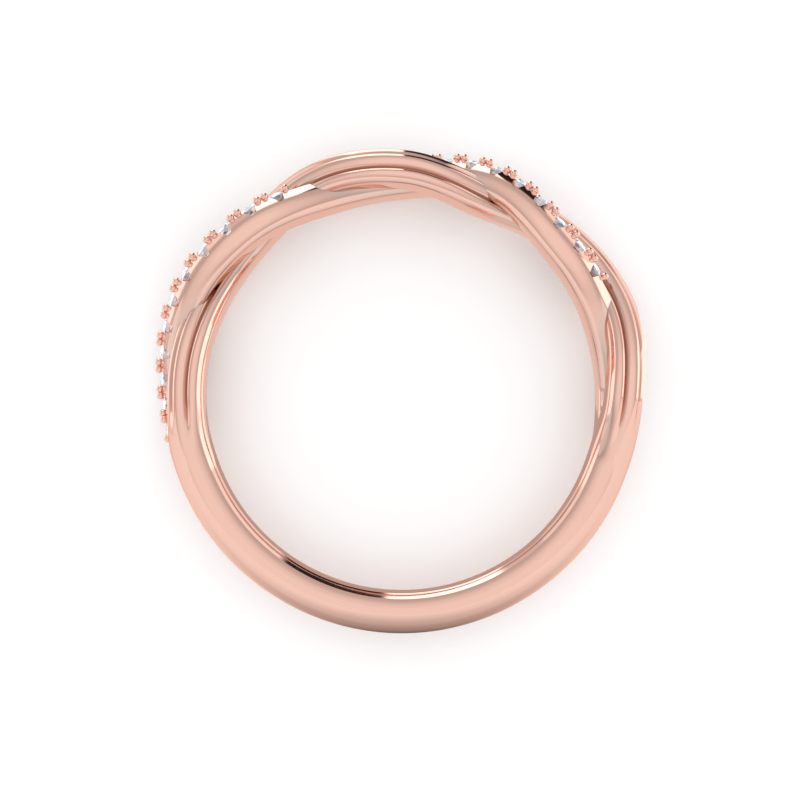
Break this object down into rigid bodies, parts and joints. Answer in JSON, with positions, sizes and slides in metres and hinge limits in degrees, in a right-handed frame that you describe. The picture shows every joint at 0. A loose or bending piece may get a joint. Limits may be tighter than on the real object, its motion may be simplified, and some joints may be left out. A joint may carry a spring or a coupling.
{
  "type": "stackable band",
  "caption": "Twisted finger ring: a fluted strand and a strand pavé-set with small round stones twine over the top and run into a plain D-section shank.",
  "frame": {"origin": "centre of the finger bore, on the ring's mid-plane", "axes": "+Z along the finger axis and up, as the ring lies on its side; -Y towards the middle of the plain shank, +Y towards the twisted top"},
  "size_m": [0.0206, 0.0203, 0.0034],
  "materials": {
    "rose_gold": "high polish",
    "stone": "brilliant cut"
  },
  "bodies": {
    "root": {"band": "rose_gold", "stone_01": "stone", "stone_02": "stone", "stone_03": "stone", "stone_04": "stone", "stone_05": "stone", "stone_06": "stone", "stone_07": "stone", "stone_08": "stone", "stone_09": "stone", "stone_10": "stone", "stone_11": "stone", "stone_12": "stone", "stone_13": "stone", "stone_14": "stone", "stone_15": "stone", "stone_16": "stone", "stone_17": "stone", "stone_18": "stone", "stone_19": "stone", "stone_20": "stone", "stone_21": "stone", "stone_22": "stone", "stone_23": "stone", "stone_24": "stone", "stone_25": "stone", "stone_26": "stone"}
  },
  "joints": []
}
